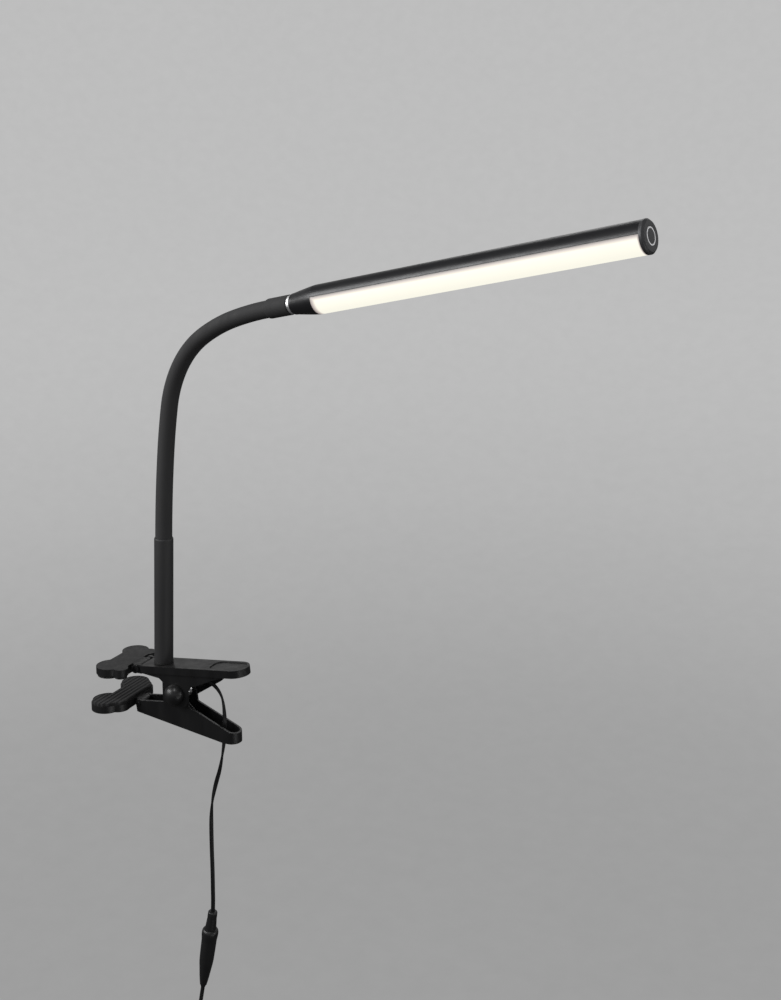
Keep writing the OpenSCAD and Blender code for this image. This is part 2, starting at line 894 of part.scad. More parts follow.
upper_lever();
lower_lever();
upper_foot();
lower_foot();
upper_pad();
lower_pad();
upper_foot_pin();
lower_foot_pin();
pivot_pin();
pivot_caps();
pivot_spacers();
spring_bush();
torsion_spring();
neck_seat();
seat_wedge();
neck_nipple();
neck_nut();
inner_lead();
cord_clip();
clip_screw();
lower_sleeve();
neck_core_0();
neck_core_1();
neck_core_2();
neck_core_3();
neck_core_4();
neck_core_5();
neck_core_6();
neck_sheath_0();
neck_sheath_1();
neck_sheath_2();
neck_sheath_3();
neck_sheath_4();
neck_sheath_5();
neck_sheath_6();
neck_ferrule();
chrome_ring();
swivel_shaft();
swivel_clip();
head_cone();
head_housing();
diffuser();
led_board();
led_chips();
end_cap();
light_ring();
touch_board();
lamp_lead();
lead_plug();
plug_barrel();
inline_socket();
contact_pin();
adapter_lead();
lead_coil();
coil_tie();
coil_drop();
adapter_boot();
adapter_body();
adapter_face();
adapter_pins();
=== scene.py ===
"""Clip-on reading lamp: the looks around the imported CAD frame, in metres and in the same frame."""
import json
import math

import bmesh
import bpy
from mathutils import Matrix, Vector

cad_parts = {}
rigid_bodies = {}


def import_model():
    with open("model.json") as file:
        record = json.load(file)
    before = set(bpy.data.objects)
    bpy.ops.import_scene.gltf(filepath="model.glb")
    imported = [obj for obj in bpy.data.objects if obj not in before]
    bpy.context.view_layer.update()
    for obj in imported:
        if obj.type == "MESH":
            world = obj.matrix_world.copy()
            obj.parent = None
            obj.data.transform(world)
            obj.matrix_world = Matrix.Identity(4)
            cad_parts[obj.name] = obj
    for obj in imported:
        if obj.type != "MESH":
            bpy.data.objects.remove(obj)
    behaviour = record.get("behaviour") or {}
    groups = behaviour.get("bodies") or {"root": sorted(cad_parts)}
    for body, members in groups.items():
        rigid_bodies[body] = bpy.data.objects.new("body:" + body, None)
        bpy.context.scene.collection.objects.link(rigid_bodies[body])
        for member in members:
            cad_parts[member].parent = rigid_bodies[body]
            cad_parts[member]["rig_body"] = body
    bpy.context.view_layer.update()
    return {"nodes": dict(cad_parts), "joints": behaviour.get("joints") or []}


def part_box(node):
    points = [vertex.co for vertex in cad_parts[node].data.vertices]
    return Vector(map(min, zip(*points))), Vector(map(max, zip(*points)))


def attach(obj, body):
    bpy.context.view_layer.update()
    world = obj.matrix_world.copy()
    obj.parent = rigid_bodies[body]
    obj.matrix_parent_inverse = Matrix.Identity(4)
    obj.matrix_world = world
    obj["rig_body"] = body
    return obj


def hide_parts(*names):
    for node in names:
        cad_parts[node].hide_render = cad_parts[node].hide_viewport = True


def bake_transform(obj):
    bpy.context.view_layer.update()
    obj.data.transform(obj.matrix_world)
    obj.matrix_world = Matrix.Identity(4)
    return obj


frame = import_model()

MM = 0.001
JOINTS = {j["name"]: j for j in frame["joints"]}

# camera: where it stands, its tilt from straight down and its turn about Z, in degrees
CAMERA_AT = (0.5204, -0.7007, 0.3450)
CAMERA_TILT = 80
CAMERA_TURN = 24
LENS = 45
SHIFT_Y = -0.10

# two-core lead: width over both cores, and the radius of one core
LEAD_WIDTH = 3.0 * MM
CORE_R = 0.8 * MM

# stored coil, in mm but for its centre: layers of turns (radius, sideways places), the radius
# at which the lead joins and leaves it, and the points drawn in each turn
COIL_AT = Vector((0.073, 0, -0.284))
COIL_LAYERS = [(15, (-6, -3, 0, 3, 6)), (18, (3, 0, -3)), (21, (-6, -3, 0, 3, 6))]
COIL_LINE_R = 18
TURN_POINTS = 28

# how far the flat lead is turned about its own line: (mm along it, degrees)
LAMP_TWIST = [(0, 50), (22, 147), (63, 327), (102, 507), (120, 592), (188, 605)]

# the leads' centrelines, in mm: lamp to connector, connector to coil, and coil to adapter
LAMP_ROUTE = [
    (64.5, 0, 2), (69.2, 0, 1.1), (73.6, 0, -1), (77.4, 0, -4.3), (80, 0, -8.6), (81.3, 0, -13.8),
    (81.9, 0, -20), (82.1, 0, -26), (82, 0, -32), (81.5, 0, -38), (80.8, 0, -44),
    (79.8, 0, -50), (78.5, 0, -57), (76.6, 0, -65), (74.1, 0, -73), (71.9, 0, -81),
    (70.2, 0, -89), (69.2, 0, -98), (68.8, 0, -108), (68.7, 0, -118), (68.7, 0, -128),
    (68.8, 0, -138), (68.8, 0, -148), (68.7, 0, -157), (68.6, 0, -166), (68.2, 0, -174.7),
]
ADAPTER_ROUTE = [
    (57.9, 0, -237.5), (56.8, -0.2, -244), (56, -1, -250.5), (55.4, -2.6, -257),
    (55.1, -4.2, -263.5), (55, -5.4, -270.5),
]
DROP_ROUTE = [
    (55, 5.4, -297.5), (55, 4.4, -304), (55, 2.6, -311), (55, 1, -318), (55, 0.2, -325),
    (55, 0, -331),
]

# neck, head and connector, matching the CAD; the turned profiles below are in mm
SLEEVE_L = 92 * MM
LINKS = 7
LINK_L = 31.2 * MM
SHEATH_R = (5.85 * MM, 5.55 * MM)
HEAD_R = 9.1 * MM
HEAD_L = 238 * MM
CONE_L = 20 * MM
CAP_L = 2.8 * MM
FERRULE_L = 18 * MM
RING_L = 2.6 * MM
SHELL_T = 1.4 * MM
DIFFUSER_T = 1.2 * MM
# how far the diffuser reaches above the head's middle, in degrees
WRAP = 12
# light ring's outer and inner radius, and the connector's socket start and length, in mm
RING_OUT = 4.88
RING_IN = 4.07
SOCKET_FROM = 14.4
CONNECTOR_L = 63.6


# ---------------------------------------------------------------- mesh helpers

def link_object(name, mesh, mat, smooth):
    """An object for the mesh, shaded smooth but for edges sharper than smooth degrees."""
    for face in mesh.polygons:
        face.use_smooth = True
    mesh.set_sharp_from_angle(angle=math.radians(smooth))
    mesh.materials.clear()
    mesh.materials.append(mat)
    obj = bpy.data.objects.new(name, mesh)
    bpy.context.scene.collection.objects.link(obj)
    return obj


def mesh_object(name, points, faces, mat, smooth):
    mesh = bpy.data.meshes.new(name)
    mesh.from_pydata([tuple(p) for p in points], [], faces)
    bm = bmesh.new()
    bm.from_mesh(mesh)
    bmesh.ops.recalc_face_normals(bm, faces=bm.faces)
    bm.to_mesh(mesh)
    bm.free()
    return link_object(name, mesh, mat, smooth)


def attribute(obj, name, values):
    """Stores one number per vertex, which a material reads by name."""
    data = obj.data.attributes.new(name, "FLOAT", "POINT").data
    data.foreach_set("value", values)


def rounded(corners):
    """A profile of (r, z, fillet) corners in mm, with each corner replaced by a curve of its fillet."""
    steps = 4
    out = []
    for i, (r, z, fillet) in enumerate(corners):
        here = Vector((r, z))
        if fillet == 0 or i in (0, len(corners) - 1):
            out.append(here)
            continue
        before = Vector(corners[i - 1][:2]) - here
        after = Vector(corners[i + 1][:2]) - here
        cut = min(fillet, 0.45 * before.length, 0.45 * after.length)
        a = here + before.normalized() * cut
        b = here + after.normalized() * cut
        for k in range(steps + 1):
            t = k / steps
            out.append(a * (1 - t) ** 2 + here * 2 * t * (1 - t) + b * t ** 2)
    return out


def lathe(name, corners, place, mat, sides, smooth=40):
    """A turned piece about the place's Z axis. Corners are (r, z, fillet) in mm."""
    profile = rounded(corners)
    points, faces, rings = [], [], []
    for p in profile:
        if p.x < 1e-4:
            rings.append([len(points)])
            points.append(place @ Vector((0, 0, p.y * MM)))
            continue
        rings.append(list(range(len(points), len(points) + sides)))
        for k in range(sides):
            a = 2 * math.pi * k / sides
            points.append(place @ (Vector((p.x * math.cos(a), p.x * math.sin(a), p.y)) * MM))
    for low, high in zip(rings, rings[1:]):
        for k in range(sides):
            a, b = low[k % len(low)], low[(k + 1) % len(low)]
            c, d = high[(k + 1) % len(high)], high[k % len(high)]
            face = list(dict.fromkeys((a, b, c, d)))
            if len(face) > 2:
                faces.append(face)
    return mesh_object(name, points, faces, mat, smooth)


def smooth_line(points, step):
    """The points with a Catmull-Rom curve drawn through them, about step apart."""
    pts = [points[0] * 2 - points[1], *points, points[-1] * 2 - points[-2]]
    out = []
    for a, b, c, d in zip(pts, pts[1:], pts[2:], pts[3:]):
        n = max(1, round((c - b).length / step))
        for k in range(n):
            t = k / n
            out.append(0.5 * (2 * b + (c - a) * t + (2 * a - 5 * b + 4 * c - d) * t ** 2
                              + (3 * b - a - 3 * c + d) * t ** 3))
    out.append(points[-1].copy())
    return out


def frames_along(line):
    """(point, side, up) at each point, with the side turned as little as possible along the line."""
    out, side = [], Vector((0, 1, 0))
    for i, p in enumerate(line):
        t = (line[min(i + 1, len(line) - 1)] - line[max(i - 1, 0)]).normalized()
        side = (side - t * side.dot(t)).normalized()
        out.append((p, side, t.cross(side)))
    return out


def twin_outline():
    """Section of a two-core lead: an open arc of each core, which meet in a shallow waist."""
    offset = LEAD_WIDTH / 2 - CORE_R
    sides = 10
    out = []
    for centre, start in ((offset, -62), (-offset, 118)):
        for k in range(sides):
            a = math.radians(start - 28 + 180 * k / (sides - 1))
            out.append((centre + CORE_R * math.cos(a), CORE_R * math.sin(a)))
    return out


def turned(keys, at):
    """Angle in degrees at a distance along a lead, from (distance, angle) keys."""
    for (s0, a0), (s1, a1) in zip(keys, keys[1:]):
        if at <= s1:
            return a0 + (a1 - a0) * (at - s0) / (s1 - s0)
    return keys[-1][1]


def lead(name, line, mat, twist):
    """A two-core lead along the line, turned about it by the twist's (mm, degrees) keys."""
    outline = twin_outline()
    n = len(outline)
    points, faces, travelled = [], [], 0
    rings = frames_along(line)
    for i, (p, side, up) in enumerate(rings):
        if i:
            travelled += (p - rings[i - 1][0]).length
        a = math.radians(turned(twist, travelled / MM))
        across = side * math.cos(a) + up * math.sin(a)
        thick = up * math.cos(a) - side * math.sin(a)
        points += [p + across * u + thick * v for u, v in outline]
    for i in range(len(line) - 1):
        for k in range(n):
            m = (k + 1) % n
            faces.append((i * n + k, i * n + m, (i + 1) * n + m, (i + 1) * n + k))
    faces += [tuple(range(n)), tuple(range((len(line) - 1) * n, len(line) * n))]
    return mesh_object(name, points, faces, mat, 60)


def eased_copy(node, name, mat, width, segments):
    """A CAD node's shape with its edges rounded, standing for that node."""
    bm = bmesh.new()
    bm.from_mesh(frame["nodes"][node].data)
    bmesh.ops.remove_doubles(bm, verts=bm.verts, dist=2e-6)
    bmesh.ops.dissolve_limit(bm, angle_limit=math.radians(0.6), verts=bm.verts, edges=bm.edges)
    limit = math.radians(30)
    sharp = [e for e in bm.edges if e.is_manifold and e.calc_face_angle(0) > limit]
    bmesh.ops.bevel(bm, geom=sharp, offset=width, segments=segments, profile=0.5,
                    affect="EDGES", clamp_overlap=True, loop_slide=True)
    bmesh.ops.triangulate(bm, faces=[f for f in bm.faces if len(f.verts) > 4])
    mesh = bpy.data.meshes.new(name)
    bm.to_mesh(mesh)
    bm.free()
    obj = link_object(name, mesh, mat, 40)
    weighted = obj.modifiers.new("even shading", "WEIGHTED_NORMAL")
    weighted.keep_sharp = True
    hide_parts(node)
    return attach(obj, frame["nodes"][node]["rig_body"])


def eased_node(node, mat, width):
    """A CAD node shown as it is, with its material and its edges rounded by modifiers."""
    obj = frame["nodes"][node]
    obj.data.materials.clear()
    obj.data.materials.append(mat)
    obj.modifiers.new("weld", "WELD").merge_threshold = 2e-6
    ease = obj.modifiers.new("ease", "BEVEL")
    ease.width, ease.segments, ease.angle_limit = width, 3, math.radians(35)
    obj.modifiers.new("even shading", "WEIGHTED_NORMAL").keep_sharp = True
    return obj


def placed(origin, z_axis, y_axis):
    """Matrix whose Z lies along z_axis and whose Y is as near y_axis as it can be."""
    z = Vector(z_axis).normalized()
    x = Vector(y_axis).cross(z).normalized()
    y = z.cross(x)
    return Matrix.Translation(Vector(origin)) @ Matrix((x, y, z)).transposed().to_4x4()


# ---------------------------------------------------------------- materials

class Nodes:
    """A material's node tree, with short calls for the nodes that the materials share."""

    def __init__(self, name):
        self.mat = bpy.data.materials.new(name)
        self.mat.use_nodes = True
        self.tree = self.mat.node_tree
        self.shader = self.tree.nodes["Principled BSDF"]
        self.place = self.tree.nodes.new("ShaderNodeTexCoord").outputs["Object"]

    def add(self, kind, **values):
        node = self.tree.nodes.new("ShaderNode" + kind)
        for key, value in values.items():
            if key in node.inputs:
                node.inputs[key].default_value = value
            else:
                setattr(node, key, value)
        return node

    def join(self, a, b):
        self.tree.links.new(a, b)

    def noise(self, scale, detail=4, rough=0.55, stretch=(1, 1, 1)):
        mapping = self.add("Mapping", Scale=stretch)
        self.join(self.place, mapping.inputs["Vector"])
        node = self.add("TexNoise", Scale=scale, Detail=detail, Roughness=rough)
        self.join(mapping.outputs["Vector"], node.inputs["Vector"])
        return node.outputs["Fac"]

    def ranged(self, value, low, high, start=0.3, end=0.7):
        node = self.add("MapRange")
        for key, number in (("From Min", start), ("From Max", end), ("To Min", low), ("To Max", high)):
            node.inputs[key].default_value = number
        self.join(value, node.inputs["Value"])
        return node.outputs["Result"]

    def ramp(self, value, *stops):
        node = self.add("ValToRGB")
        ramp = node.color_ramp
        while len(ramp.elements) < len(stops):
            ramp.elements.new(0.5)
        for element, (at, colour) in zip(ramp.elements, stops):
            element.position = at
            element.color = (*colour, 1)
        self.join(value, node.inputs["Fac"])
        return node.outputs["Color"]

    def mixed(self, share, a, b):
        node = self.add("Mix", data_type="RGBA")
        self.join(share, node.inputs["Factor"])
        for value, socket in ((a, node.inputs[6]), (b, node.inputs[7])):
            if isinstance(value, tuple):
                socket.default_value = (*value, 1)
            else:
                self.join(value, socket)
        return node.outputs[2]

    def product(self, a, b):
        node = self.add("Math", operation="MULTIPLY")
        self.join(a, node.inputs[0])
        if isinstance(b, (int, float)):
            node.inputs[1].default_value = b
        else:
            self.join(b, node.inputs[1])
        return node.outputs[0]

    def bump(self, height, strength, distance, under=None):
        node = self.add("Bump", Strength=strength, Distance=distance)
        self.join(height, node.inputs["Height"])
        if under:
            self.join(under, node.inputs["Normal"])
        self.join(node.outputs["Normal"], self.shader.inputs["Normal"])
        return node.outputs["Normal"]

    def upward(self):
        """1 on faces that look up in the object's own frame, 0 on the others."""
        coords = self.add("TexCoord")
        parts = self.add("SeparateXYZ")
        self.join(coords.outputs["Normal"], parts.inputs["Vector"])
        return self.ranged(parts.outputs["Z"], 0, 1, 0.6, 1)


def shades(colour, factor):
    return tuple(c * factor for c in colour)


def grey(tone):
    return (tone, tone, tone)


def moulded(name, colour, rough, grain=2600, grain_strength=0.25, dust=0.0, spread=0.25):
    """Moulded plastic or rubber: fine spark grain, slow changes of gloss, faint streaks and dust on top."""
    m = Nodes(name)
    slow = m.noise(28, 3)
    fine = m.noise(grain, 2, 0.6)
    streaks = m.noise(120, 5, 0.6, (1, 1, 0.15))
    tone = m.mixed(slow, shades(colour, 1 - spread), shades(colour, 1 + spread))
    tone = m.mixed(m.ranged(fine, 0, 0.35, 0.55, 0.75), tone, shades(colour, 1.8))
    if dust:
        settled = m.product(m.product(m.upward(), m.ranged(m.noise(300, 6, 0.7), 0, 1, 0.45, 0.75)), dust)
        tone = m.mixed(settled, tone, (0.22, 0.21, 0.2))
    m.join(tone, m.shader.inputs["Base Color"])
    m.join(m.ranged(streaks, rough - 0.07, rough + 0.09), m.shader.inputs["Roughness"])
    m.shader.inputs["IOR"].default_value = 1.48
    m.bump(fine, grain_strength, 0.00006)
    return m.mat


def metal(name, colour, rough, stretch, scale=900, spread=0.12, tarnish=None):
    """Bare or plated metal: drawn lines along the stretch, slow changes of tone, and tarnish in patches."""
    m = Nodes(name)
    lines = m.noise(scale, 6, 0.65, stretch)
    slow = m.noise(60, 3)
    tone = m.mixed(lines, shades(colour, 1 - spread), shades(colour, 1 + spread * 0.5))
    if tarnish:
        tone = m.mixed(m.ranged(slow, 0, 0.55, 0.5, 0.75), tone, tarnish)
    m.join(tone, m.shader.inputs["Base Color"])
    m.join(m.ranged(lines, rough * 0.75, rough * 1.3), m.shader.inputs["Roughness"])
    m.shader.inputs["Metallic"].default_value = 1
    m.bump(lines, 0.12, 0.00005)
    return m.mat


def painted(name, colour, rough, metallic=0.35):
    """Fine satin paint over metal: a metallic fleck too small to count, orange peel and handling marks."""
    m = Nodes(name)
    fleck = m.noise(5200, 2, 0.7)
    peel = m.noise(700, 3)
    marks = m.noise(90, 6, 0.7)
    tone = m.mixed(m.ranged(fleck, 0, 1, 0.45, 0.72), colour, shades(colour, 2.2))
    tone = m.mixed(m.ranged(marks, 0, 0.4, 0.5, 0.8), tone, shades(colour, 0.6))
    m.join(tone, m.shader.inputs["Base Color"])
    m.join(m.ranged(marks, rough - 0.04, rough + 0.08), m.shader.inputs["Roughness"])
    m.shader.inputs["Metallic"].default_value = metallic
    m.bump(peel, 0.06, 0.00008)
    return m.mat


def ribbed_rubber():
    """Soft pad rubber with moulded grip ribs across the jaw; its colour follows the ribs, with painted shade
    in the grooves and a painted highlight on the crests.
    """
    m = Nodes("pad_rubber")
    wave = m.add("TexWave", wave_type="BANDS", bands_direction="X", Scale=95, Distortion=0.0)
    m.join(m.place, wave.inputs["Vector"])
    fine = m.noise(3200, 3, 0.65)
    # painted shade in the rib grooves and painted highlight on the crests, following the ribs' height
    tone = m.mixed(wave.outputs["Fac"], (0.008, 0.008, 0.008), (0.03, 0.03, 0.031))
    m.join(tone, m.shader.inputs["Base Color"])
    m.join(m.ranged(fine, 0.68, 0.9), m.shader.inputs["Roughness"])
    m.bump(fine, 0.3, 0.00008, m.bump(wave.outputs["Fac"], 0.9, 0.0006))
    return m.mat


def opal_glow():
    """Opal diffuser lit from inside: brightest down its middle, warmer and dimmer towards its edges."""
    m = Nodes("opal")
    edge = m.add("Attribute", attribute_name="edge").outputs["Fac"]
    mottle = m.noise(50, 3)
    colour = m.ramp(edge, (0.0, (1.0, 0.975, 0.85)), (0.22, (1.0, 0.97, 0.85)), (0.33, (0.84, 0.79, 0.70)),
                    (0.45, (0.66, 0.60, 0.55)), (0.6, (0.47, 0.41, 0.39)), (0.78, (0.25, 0.21, 0.205)),
                    (0.92, (0.10, 0.085, 0.085)))
    white = m.ramp(mottle, (0.3, (0.24, 0.23, 0.21)), (0.7, (0.27, 0.26, 0.24)))
    m.join(white, m.shader.inputs["Base Color"])
    m.join(colour, m.shader.inputs["Emission Color"])
    m.shader.inputs["Emission Strength"].default_value = 0.93
    m.join(m.ranged(mottle, 0.42, 0.55), m.shader.inputs["Roughness"])
    m.bump(m.noise(3000, 2), 0.1, 0.00005)
    return m.mat


def circuit_board(name, mask, copper):
    """Solder mask with faint tracks under it and tinned pads."""
    m = Nodes(name)
    tracks = m.add("TexBrick", Scale=260)
    tracks.inputs["Mortar Size"].default_value = 0.06
    tracks.inputs["Color1"].default_value = (*mask, 1)
    tracks.inputs["Color2"].default_value = (*shades(mask, 0.85), 1)
    tracks.inputs["Mortar"].default_value = (*copper, 1)
    m.join(m.place, tracks.inputs["Vector"])
    m.join(tracks.outputs["Color"], m.shader.inputs["Base Color"])
    m.join(m.ranged(m.noise(800), 0.25, 0.45), m.shader.inputs["Roughness"])
    m.bump(tracks.outputs["Fac"], 0.3, 0.00003)
    return m.mat


def phosphor():
    """Yellow phosphor over a white package, speckled with its grains."""
    m = Nodes("phosphor")
    grains = m.noise(4200, 3, 0.7)
    m.join(m.ramp(grains, (0.3, (0.9, 0.72, 0.18)), (0.7, (1.0, 0.88, 0.4))), m.shader.inputs["Base Color"])
    m.join(m.ranged(grains, 0.2, 0.4), m.shader.inputs["Roughness"])
    m.bump(grains, 0.3, 0.00003)
    return m.mat


def light_guide():
    """Frosted clear ring that glows faintly round the touch spot."""
    m = Nodes("light_guide")
    haze = m.noise(1500, 4)
    tone = m.ramp(haze, (0.3, (0.62, 0.62, 0.63)), (0.7, (0.8, 0.8, 0.81)))
    m.join(tone, m.shader.inputs["Base Color"])
    m.join(tone, m.shader.inputs["Emission Color"])
    m.shader.inputs["Emission Strength"].default_value = 0.22
    m.join(m.ranged(haze, 0.2, 0.36), m.shader.inputs["Roughness"])
    return m.mat


MATS = {
    "clamp_plastic": moulded("clamp_plastic", (0.0085, 0.0085, 0.009), 0.33, grain_strength=0.1, dust=0.15),
    "foot_plastic": moulded("foot_plastic", (0.010, 0.010, 0.0105), 0.38, grain_strength=0.1, dust=0.15),
    "cap_plastic": moulded("cap_plastic", (0.011, 0.011, 0.0115), 0.32, grain_strength=0.15),
    "pad_rubber": ribbed_rubber(),
    "seat_rubber": moulded("seat_rubber", (0.010, 0.010, 0.010), 0.6, 3200, 0.3),
    "neck_rubber": moulded("neck_rubber", (0.033, 0.033, 0.034), 0.8, 3600, 0.2, spread=0.1),
    "sleeve_paint": moulded("sleeve_paint", (0.029, 0.029, 0.030), 0.55, 4200, 0.15, spread=0.1),
    "head_paint": painted("head_paint", (0.014, 0.014, 0.0155), 0.34, 0.2),
    "cap_paint": painted("cap_paint", (0.062, 0.062, 0.065), 0.42),
    "lead_pvc": moulded("lead_pvc", (0.008, 0.008, 0.0085), 0.4, 2800, 0.12),
    "plug_pvc": moulded("plug_pvc", (0.013, 0.013, 0.0135), 0.36, 2400, 0.12),
    "adapter_plastic": moulded("adapter_plastic", (0.020, 0.020, 0.021), 0.5, 1800, 0.5),
    "nylon": moulded("nylon", (0.62, 0.60, 0.55), 0.45, 1500, 0.1, spread=0.06),
    "pin_steel": metal("pin_steel", (0.045, 0.045, 0.047), 0.45, (1, 0.1, 1), tarnish=(0.03, 0.028, 0.026)),
    "spring_steel": metal("spring_steel", (0.7, 0.7, 0.71), 0.3, (1, 1, 1), tarnish=(0.45, 0.42, 0.38)),
    "zinc": metal("zinc", (0.62, 0.63, 0.66), 0.33, (1, 1, 0.2), tarnish=(0.5, 0.48, 0.4)),
    "brass_fitting": metal("brass_fitting", (0.72, 0.55, 0.26), 0.28, (1, 1, 8), tarnish=(0.4, 0.27, 0.12)),
    "neck_hose": metal("neck_hose", (0.5, 0.5, 0.51), 0.35, (1, 1, 4)),
    "bright_ring": metal("bright_ring", (0.95, 0.95, 0.96), 0.5, (1, 1, 1), 400, 0.04),
    "nickel": metal("nickel", (0.72, 0.70, 0.66), 0.2, (0.15, 1, 1), 700, 0.08, (0.55, 0.5, 0.42)),
    "opal": opal_glow(),
    "board_white": circuit_board("board_white", (0.85, 0.85, 0.82), (0.7, 0.68, 0.6)),
    "board_green": circuit_board("board_green", (0.02, 0.16, 0.06), (0.08, 0.3, 0.12)),
    "led_yellow": phosphor(),
    "ring_light": light_guide(),
}


# ---------------------------------------------------------------- camera

def make_camera():
    data = bpy.data.cameras.new("camera")
    data.lens = LENS
    data.sensor_width = 36
    data.shift_y = SHIFT_Y
    data.clip_start = 0.01
    camera = bpy.data.objects.new("camera", data)
    camera.location = CAMERA_AT
    camera.rotation_euler = (math.radians(CAMERA_TILT), 0, math.radians(CAMERA_TURN))
    bpy.context.scene.collection.objects.link(camera)
    bpy.context.scene.camera = camera


make_camera()


# ---------------------------------------------------------------- leads, connector and coil

PLUG_AT = placed(Vector(LAMP_ROUTE[-1]) * MM, JOINTS["plug_pull"]["axis"], (0, 1, 0))


def route(points):
    return [Vector(p) * MM for p in points]


def coil_points():
    """The coil's turns. Each keeps its place in the bundle and steps over to the next near its end."""
    places = [(r, y) for r, across in COIL_LAYERS for y in across]
    keys = [(0, COIL_LINE_R, places[0][1]), (0.3, *places[0])]
    for k, place in enumerate(places):
        keys.append((k + 0.78, *place))
        if k + 1 < len(places):
            keys.append((k + 1.02, *places[k + 1]))
    keys[-1] = (len(places) - 0.3, *places[-1])
    keys.append((len(places), COIL_LINE_R, places[-1][1]))
    out = []
    for i in range(len(places) * TURN_POINTS + 1):
        turn = i / TURN_POINTS
        k = max(j for j in range(len(keys) - 1) if keys[j][0] <= turn + 1e-9)
        t = (turn - keys[k][0]) / (keys[k + 1][0] - keys[k][0])
        t = t * t * (3 - 2 * t)
        r = keys[k][1] * (1 - t) + keys[k + 1][1] * t
        y = keys[k][2] * (1 - t) + keys[k + 1][2] * t
        a = math.pi + 2 * math.pi * turn
        out.append(COIL_AT + Vector((r * math.cos(a), y, r * math.sin(a))) * MM)
    return out


def lamp_cord():
    line = smooth_line(route(LAMP_ROUTE), 1.5 * MM)
    cord = lead("lamp_cord", line, MATS["lead_pvc"], LAMP_TWIST)
    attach(cord, "clamp")
    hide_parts("lamp_lead")
    return cord, line


def adapter_cord():
    line = smooth_line(route(ADAPTER_ROUTE) + coil_points() + route(DROP_ROUTE), 2.0 * MM)
    cord = lead("adapter_cord", line, MATS["lead_pvc"], [(0, 90), (1, 90)])
    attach(cord, "lead_end")
    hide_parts("adapter_lead", "lead_coil", "coil_drop")
    return cord, line


def plug_shell():
    """Thin collar with a neck behind it, moulded round the lamp's lead."""
    obj = lathe("plug_shell", [
        (0, 0, 0), (2.7, 0, 0.5), (3.35, 0.6, 0.5), (3.45, 4.6, 0.3), (3.3, 5.0, 0.2), (3.4, 5.6, 0.3),
        (4.0, SOCKET_FROM - 0.8, 0.5), (4.0, SOCKET_FROM - 0.1, 0), (0, SOCKET_FROM - 0.05, 0),
    ], PLUG_AT, MATS["plug_pvc"], 56)
    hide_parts("lead_plug")
    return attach(obj, "clamp")


def socket_shell():
    """Thicker socket body: a rounded shoulder, a long waist, and a taper down to the adapter's lead."""
    obj = lathe("socket_shell", [
        (2.86, SOCKET_FROM + 0.6, 0), (2.86, SOCKET_FROM, 0.1), (4.7, SOCKET_FROM, 0.7),
        (5.8, SOCKET_FROM + 1.4, 1.0), (6.0, SOCKET_FROM + 3.4, 1.0), (5.95, 19.6, 1.0), (5.5, 23, 1.5),
        (5.35, 33, 2), (5.15, 41.5, 3), (4.4, 47.5, 3), (3.6, 54.5, 3), (2.8, 59.8, 1.5),
        (2.45, 61.8, 0.4), (1.75, 62.3, 0.3), (1.7, CONNECTOR_L, 0.1), (0, CONNECTOR_L, 0),
    ], PLUG_AT, MATS["plug_pvc"], 56)
    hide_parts("inline_socket")
    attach(obj, "lead_end")


def cord_boot():
    """Tapered strain relief with bending slots, where the lead enters the adapter."""
    low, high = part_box("adapter_boot")
    place = Matrix.Translation(((low.x + high.x) / 2, 0, low.z))
    height = (high.z - low.z) / MM
    corners = [(0, 0, 0), (4.6, 0, 0.2), (4.6, 1.6, 0.5), (3.9, 2.5, 0.4)]
    slots = 5
    for k in range(slots):
        z = 4.2 + k * 3.0
        r = 3.75 - 0.075 * z
        corners += [(r, z, 0.2), (r - 0.8, z + 0.25, 0.15)]
        corners += [(r - 0.8, z + 1.05, 0.15), (r - 0.05, z + 1.3, 0.2)]
    corners += [(2.15, height - 0.4, 0.3), (1.7, height, 0.2), (0, height, 0)]
    obj = lathe("cord_boot", corners, place, MATS["plug_pvc"], 48)
    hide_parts("adapter_boot")
    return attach(obj, "lead_end")


def tie_strap():
    """Flat strap round the coil's bundle, with rounded corners and softened edges."""
    low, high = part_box("coil_tie")
    centre = (low + high) / 2
    half_x, half_y = (high.x - low.x) / 2, (high.y - low.y) / 2
    thick, corner, width = 0.8 * MM, 2.6 * MM, (high.z - low.z)
    outline = []
    for sx, sy, start in ((1, 1, 0), (-1, 1, 90), (-1, -1, 180), (1, -1, 270)):
        for k in range(9):
            a = math.radians(start + 90 * k / 8)
            outline.append((sx * (half_x - corner), sy * (half_y - corner), math.cos(a), math.sin(a)))
    points, faces = [], []
    rows = ((0, 0), (0.12, -0.12), (0.88, -0.12), (1, 0), (1, 1), (0.88, 1.1), (0.12, 1.1), (0, 1))
    for cx, cy, ux, uy in outline:
        for along, depth in rows:
            r = corner - 0.1 * MM - depth * thick * 0.82
            points.append(centre + Vector((cx + ux * r, cy + uy * r, (along - 0.5) * width)))
    n, m = len(outline), len(rows)
    for i in range(n):
        here, there = i * m, (i + 1) % n * m
        for k in range(m):
            nxt = (k + 1) % m
            faces.append((here + k, there + k, there + nxt, here + nxt))
    obj = mesh_object("tie_strap", points, faces, MATS["plug_pvc"], 40)
    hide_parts("coil_tie")
    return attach(obj, "lead_end")


cord_a, line_a = lamp_cord()
cord_b, line_b = adapter_cord()
plug = plug_shell()
socket_shell()
boot, strap = cord_boot(), tie_strap()
adapter = [
    eased_node("adapter_body", MATS["adapter_plastic"], 1.0 * MM),
    eased_node("adapter_face", MATS["adapter_plastic"], 0.5 * MM),
    eased_node("adapter_pins", MATS["nickel"], 0.25 * MM),
]


# ---------------------------------------------------------------- neck

